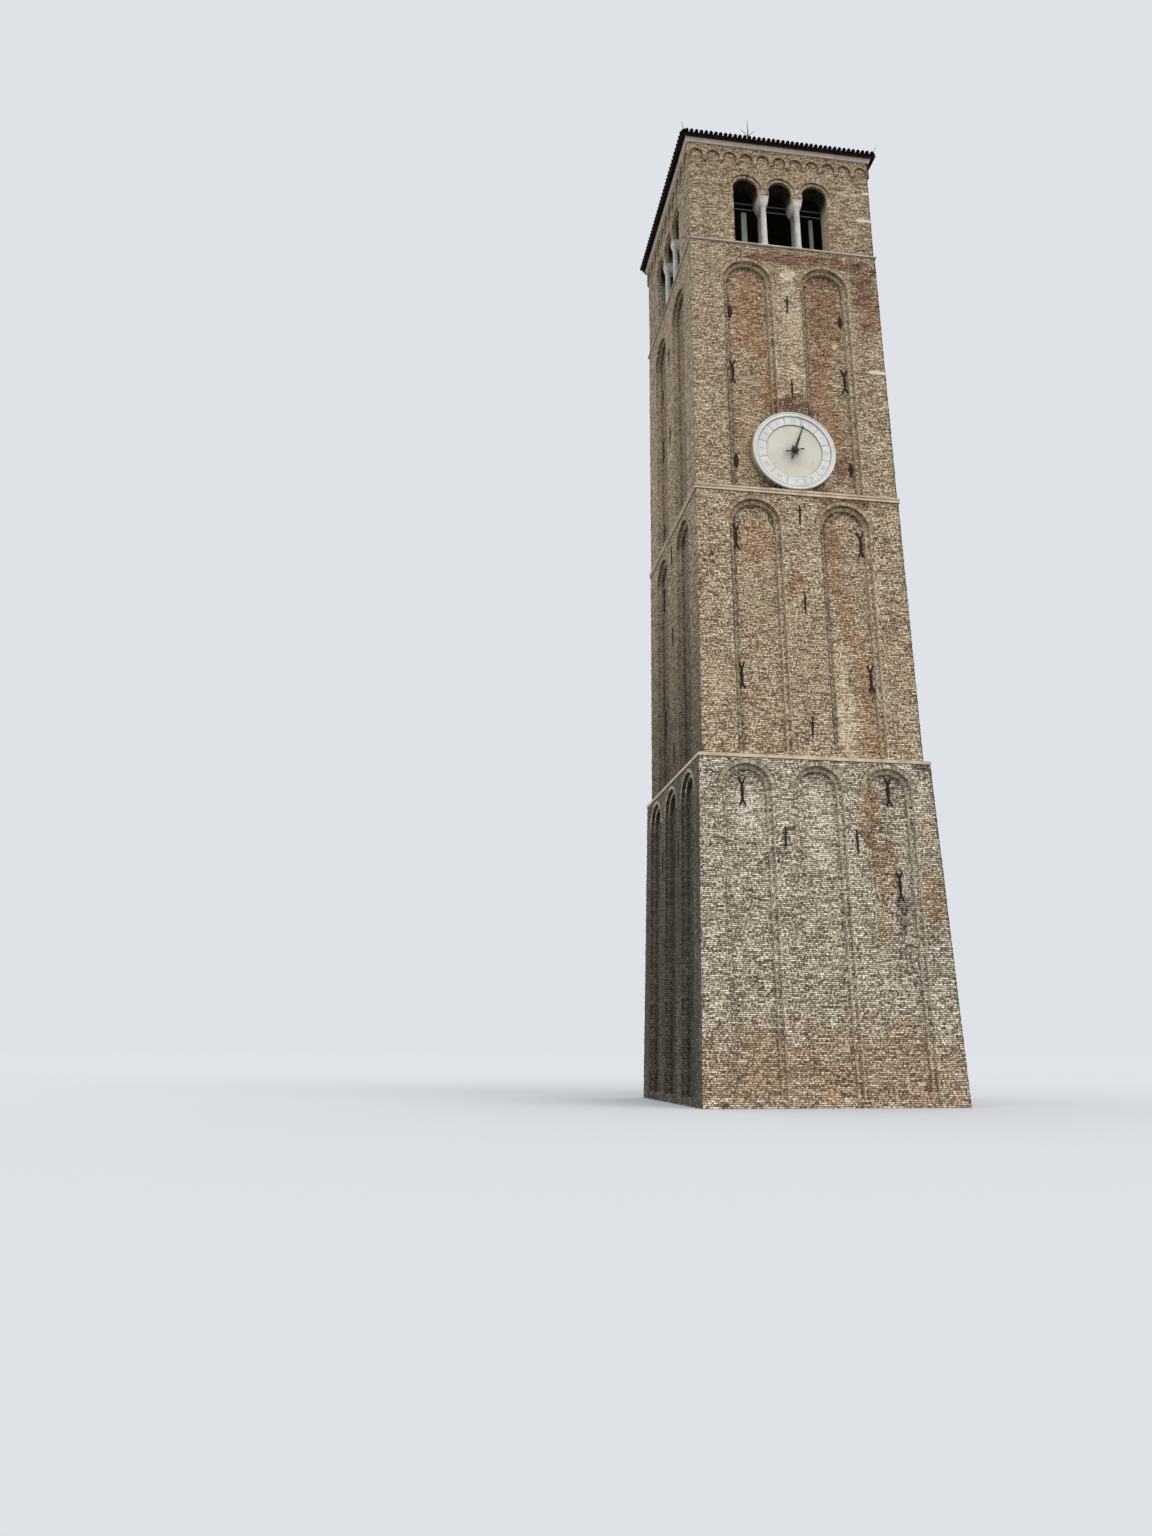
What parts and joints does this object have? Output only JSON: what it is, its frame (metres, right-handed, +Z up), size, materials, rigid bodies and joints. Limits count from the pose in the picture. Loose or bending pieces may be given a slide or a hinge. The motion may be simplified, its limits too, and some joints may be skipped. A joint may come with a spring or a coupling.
{
  "type": "bell tower",
  "caption": "Square brick bell tower with tall blind arches, an open arched belfry under a low tiled roof, and a round clock with a single hand.",
  "frame": {"origin": "centre of the tower's foot, on the ground", "axes": "+Z up, -Y out of the front face that carries the clock, +X to the right of that face"},
  "size_m": [8.18, 8.18, 39.6403],
  "materials": {
    "brick": "weathered brick",
    "moulded_brick": "weathered moulded brick",
    "pale_stone": "weathered limestone",
    "timber": "old boards",
    "roof_tile": "dark terracotta",
    "dial_marble": "honed marble",
    "dial_plaster": "smooth plaster",
    "black_iron": "painted black",
    "painted_post": "grey green paint",
    "old_iron": "rusted"
  },
  "bodies": {
    "tower": {"back_corbel_table": "brick", "base_back_wall": "brick", "base_front_wall": "brick", "base_left_wall": "brick", "base_right_wall": "brick", "belfry_back_capitals": "pale_stone", "belfry_back_columns": "pale_stone", "belfry_back_wall": "brick", "belfry_floor": "timber", "belfry_front_capitals": "pale_stone", "belfry_front_columns": "pale_stone", "belfry_front_wall": "brick", "belfry_left_capitals": "pale_stone", "belfry_left_columns": "pale_stone", "belfry_left_wall": "brick", "belfry_right_capitals": "pale_stone", "belfry_right_columns": "pale_stone", "belfry_right_wall": "brick", "belfry_sill": "pale_stone", "clock_disc": "dial_plaster", "clock_hour_stones": "dial_marble", "clock_rim": "dial_marble", "clock_spindle": "black_iron", "column_bases": "pale_stone", "cornice": "moulded_brick", "front_corbel_table": "brick", "inner_posts": "painted_post", "left_corbel_table": "brick", "lightning_rod": "old_iron", "lower_string_course": "moulded_brick", "middle_back_wall": "brick", "middle_front_wall": "brick", "middle_left_wall": "brick", "middle_right_wall": "brick", "right_corbel_table": "brick", "roof": "roof_tile", "roof_tile_rows": "roof_tile", "tie_bars": "old_iron", "upper_back_wall": "brick", "upper_front_wall": "brick", "upper_left_wall": "brick", "upper_right_wall": "brick", "upper_string_course": "moulded_brick", "wall_anchors": "old_iron"},
    "hand": {"clock_hand": "black_iron"}
  },
  "joints": [
    {"name": "hand_turn", "type": "hinge", "parent": "tower", "child": "hand", "pos_m": [-0.07, -3.72, 21.74], "axis": [0, 1, 0], "continuous": true}
  ]
}
